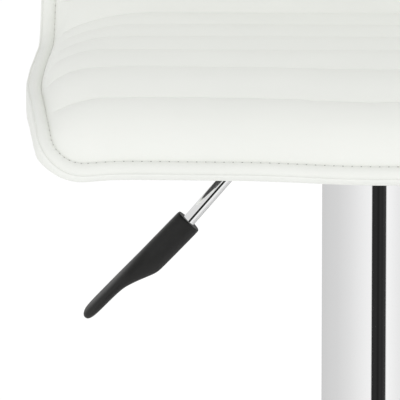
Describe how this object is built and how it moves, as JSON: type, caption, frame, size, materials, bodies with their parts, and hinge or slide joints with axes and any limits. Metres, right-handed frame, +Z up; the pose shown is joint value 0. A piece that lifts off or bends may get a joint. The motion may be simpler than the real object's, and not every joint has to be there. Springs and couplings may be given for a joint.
{
  "type": "adjustable swivel stool",
  "caption": "Bar stool with a padded one-piece seat and back, stitched border, gas-lift column, footrest loop, round pedestal and a height lever.",
  "frame": {"origin": "on the floor under the middle of the column, with the lift at its lowest", "axes": "+Z up along the column, the front of the seat and the footrest face -Y, the lever is on the -X side"},
  "size_m": [0.4199, 0.4484, 0.866],
  "materials": {
    "rubber": "matt black rubber",
    "ballast": "grey primer",
    "chrome": "polished chrome plate",
    "tube_steel": "hard chrome on steel",
    "bright_steel": "bright steel",
    "zinc": "zinc plated steel",
    "black_plastic": "black nylon",
    "brass": "turned brass",
    "cylinder_black": "satin black enamel",
    "bracket_black": "black powder coat",
    "plywood": "bent birch plywood",
    "white_leather": "white grained leatherette, satin",
    "white_border": "white leatherette binding, satin",
    "handle_black": "black satin plastic with a fine grain"
  },
  "bodies": {
    "base": {"floor_ring": "rubber", "ballast_plate": "ballast", "base_hub": "ballast", "base_disc": "chrome", "neck_cover": "chrome", "neck_seal": "black_plastic", "standing_tube": "tube_steel", "tube_guide": "black_plastic", "piston_rod": "bright_steel", "piston": "brass", "piston_seal": "rubber", "thrust_washers": "bright_steel", "thrust_balls": "bright_steel", "rod_clip": "zinc"},
    "lift": {"column_sleeve": "chrome", "sleeve_cap": "black_plastic", "sleeve_rivets": "chrome", "sleeve_guide": "black_plastic", "footrest_collar": "chrome", "footrest_bar": "chrome", "footrest_screws": "zinc"},
    "seat": {"gas_cylinder": "cylinder_black", "rod_gland": "brass", "valve_block": "brass", "snap_ring": "zinc", "taper_socket": "bracket_black", "seat_plate": "bracket_black", "lever_housing": "bracket_black", "lever_pin": "zinc", "pin_clips": "zinc", "plate_bolts": "zinc", "bolt_washers": "zinc", "tee_nuts": "zinc", "seat_panel": "plywood", "seat_padding": "white_leather", "back_padding": "white_leather", "rear_cover": "white_leather", "edge_border": "white_border"},
    "lever": {"lever_tongue": "zinc", "lever_rod": "chrome", "lever_handle": "handle_black"},
    "release_pin": {"valve_pin": "bright_steel"}
  },
  "joints": [
    {"name": "height", "type": "slide", "parent": "base", "child": "lift", "axis": [0, 0, 1], "range_m": [0, 0.21]},
    {"name": "swivel", "type": "hinge", "parent": "lift", "child": "seat", "pos_m": [0, 0, 0.5], "axis": [0, 0, 1], "continuous": true},
    {"name": "lever_tilt", "type": "hinge", "parent": "seat", "child": "lever", "pos_m": [-0.034, 0, 0.5726], "axis": [0, 1, 0], "range_deg": [0, 6], "stiffness_Nm_per_rad": 0.6, "springref_deg": -5.73},
    {"name": "pin_press", "type": "slide", "parent": "seat", "child": "release_pin", "axis": [0, 0, -1], "range_m": [0, 0.004], "stiffness_N_per_m": 500, "springref_m": -0.002}
  ],
  "couplings": [
    {"joint": "pin_press", "follows": "lever_tilt", "m_per_rad": 0.035}
  ]
}
